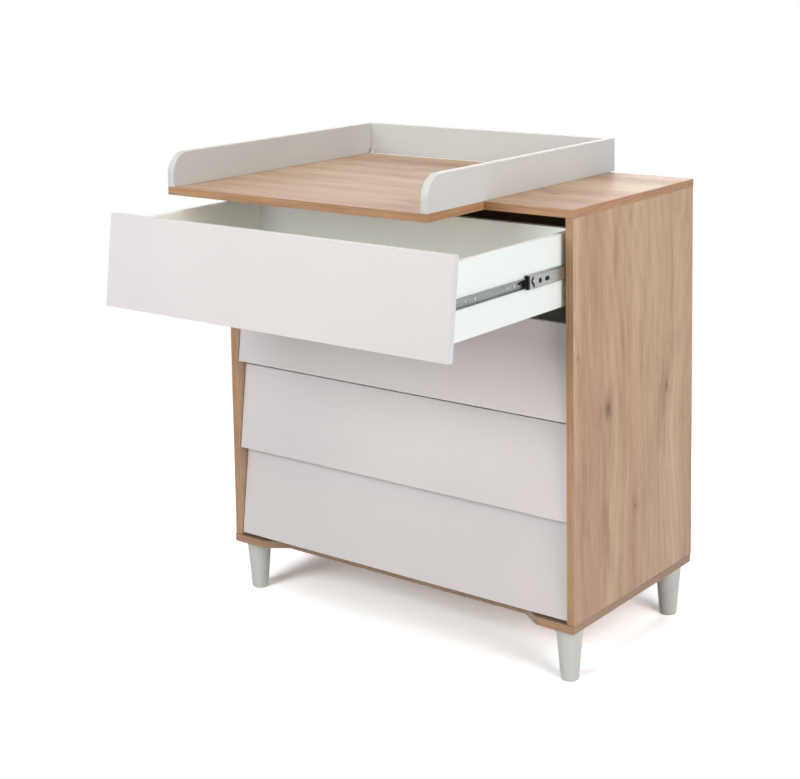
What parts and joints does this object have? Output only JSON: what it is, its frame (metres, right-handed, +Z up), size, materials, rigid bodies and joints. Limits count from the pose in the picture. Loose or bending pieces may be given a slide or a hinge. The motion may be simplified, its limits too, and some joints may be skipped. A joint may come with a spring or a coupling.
{
  "type": "changing dresser",
  "caption": "Oak-decor chest of louvred pull-out drawers on tapered legs, with a grey railed changing frame and front shelf on its top.",
  "frame": {"origin": "centre of the bottom of the box around the dresser as it stands with its top drawer pulled out, on the floor", "axes": "+X to the right, -Y out of the front, +Z up"},
  "size_m": [0.96, 0.961, 1.098],
  "materials": {
    "oak_decor": "oak-decor melamine board, matt, fine grain",
    "hardboard": "raw hardboard",
    "front_laminate": "warm white melamine board, matt",
    "box_laminate": "cool white melamine board, matt",
    "frame_laminate": "light grey melamine board, matt",
    "leg_lacquer": "turned wood, light grey lacquer",
    "white_plastic": "moulded plastic",
    "zinc_steel": "zinc-plated steel strip"
  },
  "bodies": {
    "chest": {"side_panel_left": "oak_decor", "side_panel_right": "oak_decor", "top_panel": "oak_decor", "bottom_panel": "oak_decor", "back_panel": "hardboard", "leg_front_left": "leg_lacquer", "leg_front_right": "leg_lacquer", "leg_rear_left": "leg_lacquer", "leg_rear_right": "leg_lacquer", "frame_rail_left": "frame_laminate", "frame_rail_right": "frame_laminate", "frame_rail_back": "frame_laminate", "frame_front_shelf": "oak_decor", "frame_bracket_left": "white_plastic", "frame_bracket_right": "white_plastic", "slide_1_left_chest_channel": "zinc_steel", "slide_1_right_chest_channel": "zinc_steel", "slide_2_left_chest_channel": "zinc_steel", "slide_2_right_chest_channel": "zinc_steel", "slide_3_left_chest_channel": "zinc_steel", "slide_3_right_chest_channel": "zinc_steel", "slide_4_left_chest_channel": "zinc_steel", "slide_4_right_chest_channel": "zinc_steel"},
    "drawer_1": {"drawer_1_front": "front_laminate", "drawer_1_side_left": "box_laminate", "drawer_1_side_right": "box_laminate", "drawer_1_back": "box_laminate", "drawer_1_base": "box_laminate", "slide_1_left_drawer_channel": "zinc_steel", "slide_1_right_drawer_channel": "zinc_steel"},
    "drawer_1_slide_middles": {"slide_1_left_middle_channel": "zinc_steel", "slide_1_right_middle_channel": "zinc_steel"},
    "drawer_2": {"drawer_2_front": "front_laminate", "drawer_2_side_left": "box_laminate", "drawer_2_side_right": "box_laminate", "drawer_2_back": "box_laminate", "drawer_2_base": "box_laminate", "slide_2_left_drawer_channel": "zinc_steel", "slide_2_right_drawer_channel": "zinc_steel"},
    "drawer_2_slide_middles": {"slide_2_left_middle_channel": "zinc_steel", "slide_2_right_middle_channel": "zinc_steel"},
    "drawer_3": {"drawer_3_front": "front_laminate", "drawer_3_side_left": "box_laminate", "drawer_3_side_right": "box_laminate", "drawer_3_back": "box_laminate", "drawer_3_base": "box_laminate", "slide_3_left_drawer_channel": "zinc_steel", "slide_3_right_drawer_channel": "zinc_steel"},
    "drawer_3_slide_middles": {"slide_3_left_middle_channel": "zinc_steel", "slide_3_right_middle_channel": "zinc_steel"},
    "drawer_4": {"drawer_4_front": "front_laminate", "drawer_4_side_left": "box_laminate", "drawer_4_side_right": "box_laminate", "drawer_4_back": "box_laminate", "drawer_4_base": "box_laminate", "slide_4_left_drawer_channel": "zinc_steel", "slide_4_right_drawer_channel": "zinc_steel"},
    "drawer_4_slide_middles": {"slide_4_left_middle_channel": "zinc_steel", "slide_4_right_middle_channel": "zinc_steel"}
  },
  "joints": [
    {"name": "drawer_1_slide", "type": "slide", "parent": "chest", "child": "drawer_1", "axis": [0, -1, 0], "range_m": [-0.419, 0.031]},
    {"name": "drawer_1_middle_slide", "type": "slide", "parent": "chest", "child": "drawer_1_slide_middles", "axis": [0, -1, 0], "range_m": [-0.2095, 0.0155]},
    {"name": "drawer_2_slide", "type": "slide", "parent": "chest", "child": "drawer_2", "axis": [0, -1, 0], "range_m": [0, 0.45]},
    {"name": "drawer_2_middle_slide", "type": "slide", "parent": "chest", "child": "drawer_2_slide_middles", "axis": [0, -1, 0], "range_m": [0, 0.225]},
    {"name": "drawer_3_slide", "type": "slide", "parent": "chest", "child": "drawer_3", "axis": [0, -1, 0], "range_m": [0, 0.45]},
    {"name": "drawer_3_middle_slide", "type": "slide", "parent": "chest", "child": "drawer_3_slide_middles", "axis": [0, -1, 0], "range_m": [0, 0.225]},
    {"name": "drawer_4_slide", "type": "slide", "parent": "chest", "child": "drawer_4", "axis": [0, -1, 0], "range_m": [0, 0.45]},
    {"name": "drawer_4_middle_slide", "type": "slide", "parent": "chest", "child": "drawer_4_slide_middles", "axis": [0, -1, 0], "range_m": [0, 0.225]}
  ],
  "couplings": [
    {"joint": "drawer_1_middle_slide", "follows": "drawer_1_slide", "ratio": 0.5},
    {"joint": "drawer_2_middle_slide", "follows": "drawer_2_slide", "ratio": 0.5},
    {"joint": "drawer_3_middle_slide", "follows": "drawer_3_slide", "ratio": 0.5},
    {"joint": "drawer_4_middle_slide", "follows": "drawer_4_slide", "ratio": 0.5}
  ]
}
